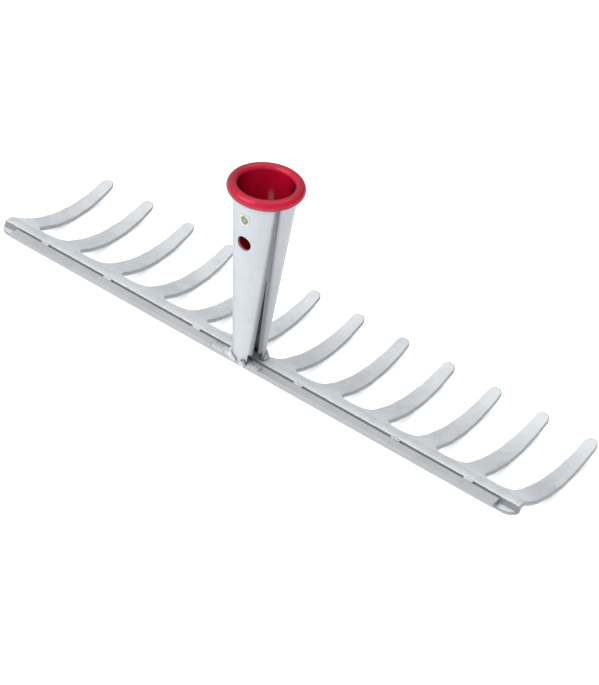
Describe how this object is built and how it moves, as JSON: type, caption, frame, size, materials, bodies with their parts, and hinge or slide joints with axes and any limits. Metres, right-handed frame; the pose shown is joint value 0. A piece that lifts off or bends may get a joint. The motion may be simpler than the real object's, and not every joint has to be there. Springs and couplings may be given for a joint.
{
  "type": "garden rake head",
  "caption": "Level-head garden rake: curved flat tines on a straight comb with a backing bar, a rolled tapered handle socket welded on top and a red plastic collar liner.",
  "frame": {"origin": "centre of the handle bore, the cylindrical land inside the liner's collar, 3.7 mm below the collar's top face", "axes": "+Z out of the socket along its axis, X along the comb, +Y from the backing bar towards the tine tips"},
  "size_m": [0.343, 0.1009, 0.1251],
  "materials": {
    "comb_steel": "satin galvanised sheet steel, pale blue-grey",
    "bar_steel": "satin galvanised flat bar, pale grey",
    "socket_steel": "satin rolled galvanised sheet, bright pale grey",
    "weld_metal": "lumpy bright weld beads under zinc",
    "red_plastic": "smooth glossy crimson moulded plastic",
    "label_paper": "small film sticker with an abstract round mark and no text"
  },
  "bodies": {
    "root": {"tine_comb": "comb_steel", "back_bar": "bar_steel", "bar_tack_welds": "weld_metal", "handle_socket": "socket_steel", "socket_foot_welds": "weld_metal", "socket_insert": "red_plastic", "label": "label_paper"}
  },
  "joints": []
}
